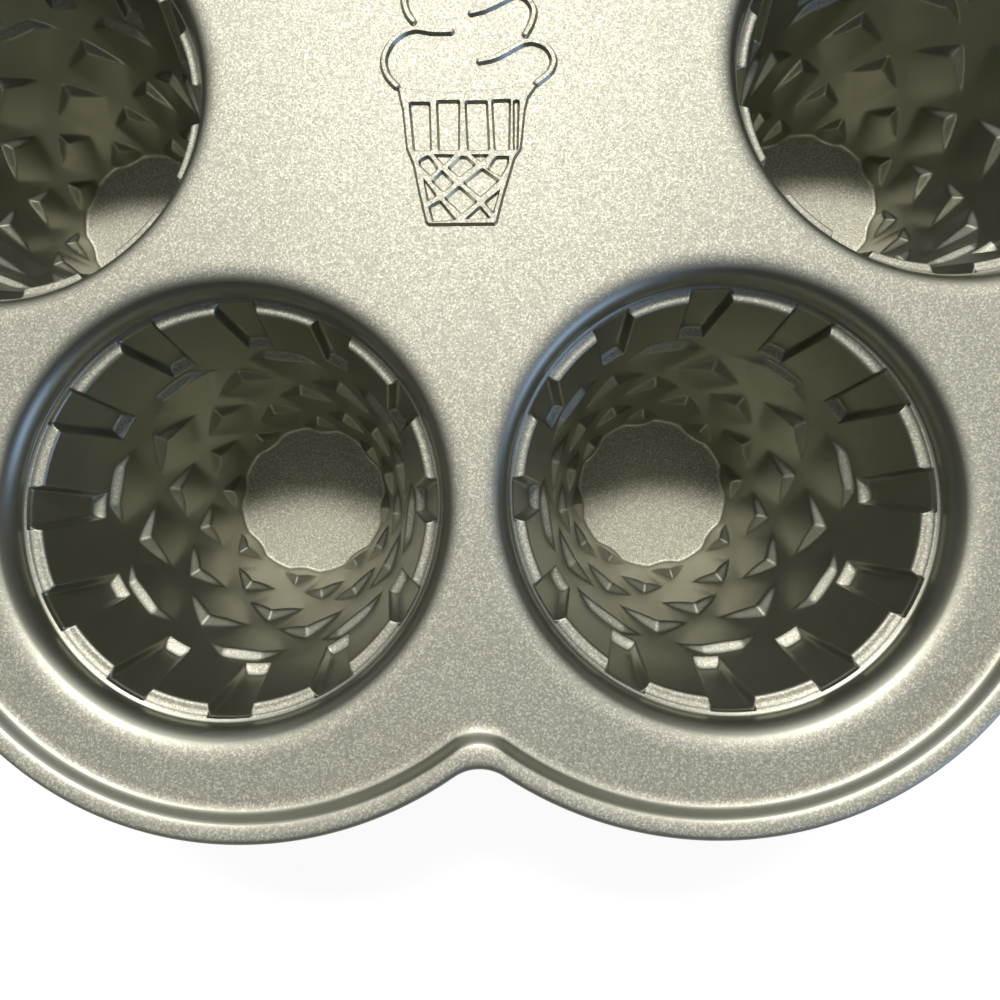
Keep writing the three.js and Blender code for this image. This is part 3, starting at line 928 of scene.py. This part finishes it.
def cone_mesh():
    """The cone of the figure: a plateau with sunk openings, its sides all sloping out to their foot."""
    border = [figure_point(share) for share in CONE_OUTLINE_SHARES]
    holes = [[figure_point(share) for share in loop] for loop in CONE_OPENING_SHARES]
    top = [rounded(moved_in(border, DRAFT_IN), BORDER_ROUND)]
    top += [rounded(moved_in(hole, -DRAFT_IN), OPENING_TOP_ROUND) for hole in holes]
    foot = [rounded(moved_in(border, -DRAFT_OUT), BORDER_ROUND)]
    foot += [rounded(moved_in(hole, DRAFT_OUT), OPENING_FOOT_ROUND) for hole in holes]
    count = sum(len(loop) for loop in top)
    points = [(p.x, p.y, DECK_TOP + FIGURE_RELIEF) for loop in top for p in loop]
    points += [(p.x, p.y, DECK_TOP) for loop in foot for p in loop]
    faces = level_faces(top)
    faces += [[count + corner for corner in reversed(face)] for face in level_faces(foot)]
    first = 0
    for number, loop in enumerate(top):
        for step in range(len(loop)):
            here, there = first + step, first + (step + 1) % len(loop)
            if number == 0:
                faces.append([there, here, count + here, count + there])
            else:
                faces.append([here, there, count + there, count + here])
        first += len(loop)
    return plain_mesh("figure_cone", points, faces, figure_coating)


place_piece("figure_cone", cone_mesh(), "emblem_cone", 35)

# Pale floor: white to the camera, with a little of the pan's shadow left in it, and clear from below
floor_material = bpy.data.materials.new("floor")
floor_material.use_nodes = True
tree = Tree(floor_material.node_tree)
seen = tree.add("ShaderNodeLightPath", None, None, 0)
plain = tree.add("ShaderNodeBsdfDiffuse", None, {"Color": (0.8, 0.8, 0.8, 1)})
bright = tree.add("ShaderNodeEmission", None, {"Color": (1, 1, 1, 1), "Strength": 1.25})
mixed = tree.add("ShaderNodeMixShader", None, {"Fac": seen * 0.75, 1: plain, 2: bright})
below = tree.add("ShaderNodeNewGeometry", None, None, 6)
clear = tree.add("ShaderNodeBsdfTransparent")
either = tree.add("ShaderNodeMixShader", None, {"Fac": below, 1: mixed, 2: clear})
tree.add("ShaderNodeOutputMaterial", None, {"Surface": either})
floor_mesh = plain_mesh(
    "floor",
    [(-1500, -1500, 0), (1500, -1500, 0), (1500, 1500, 0), (-1500, 1500, 0)],
    [(0, 1, 2, 3)],
    floor_material,
)
floor = bpy.data.objects.new("floor", floor_mesh)
bpy.context.scene.collection.objects.link(floor)


# Light
def lamp(name, place, target, width, height, power, colour):
    data = bpy.data.lights.new(name, "AREA")
    data.shape = "RECTANGLE"
    data.size = width
    data.size_y = height
    data.energy = power
    data.color = colour
    thing = bpy.data.objects.new(name, data)
    thing.location = place
    thing.rotation_euler = (Vector(target) - Vector(place)).to_track_quat("-Z", "Y").to_euler()
    bpy.context.scene.collection.objects.link(thing)
    return thing


lamp("north window", (0.0, 0.68, 1.25), (0, 0, 0.03), 0.4, 0.12, 14, (1.0, 0.985, 0.94))
lamp("north sky", (0.0, 1.0, 0.75), (0, 0, 0.03), 1.4, 0.7, 3, (0.95, 0.98, 1.0))
lamp("evening fill", (0.9, -0.6, 0.28), (0, 0, 0.05), 0.6, 0.5, 2.2, (0.4, 0.6, 1.0))

world = bpy.data.worlds.new("studio")
world.use_nodes = True
tree = Tree(world.node_tree)
seen = tree.add("ShaderNodeLightPath", None, None, 0)
sky = tree.add("ShaderNodeBackground", None, {"Color": (1, 1, 1, 1), "Strength": seen.between(0.06, 1.0)})
tree.add("ShaderNodeOutputWorld", None, {"Surface": sky})
bpy.context.scene.world = world

# Camera
camera_data = bpy.data.cameras.new("camera")
camera_data.sensor_width = 36
camera_data.lens = 26.316
camera_data.shift_x = 0.0228
camera_data.shift_y = -0.0822
camera_data.clip_start = 0.005
camera = bpy.data.objects.new("camera", camera_data)
camera.location = (3.667 * MM, -70.899 * MM, 185.948 * MM)
camera.rotation_euler = (math.radians(5.498), math.radians(1.48), math.radians(-1.16))
bpy.context.scene.collection.objects.link(camera)
bpy.context.scene.camera = camera
bpy.context.scene.view_settings.view_transform = "Standard"
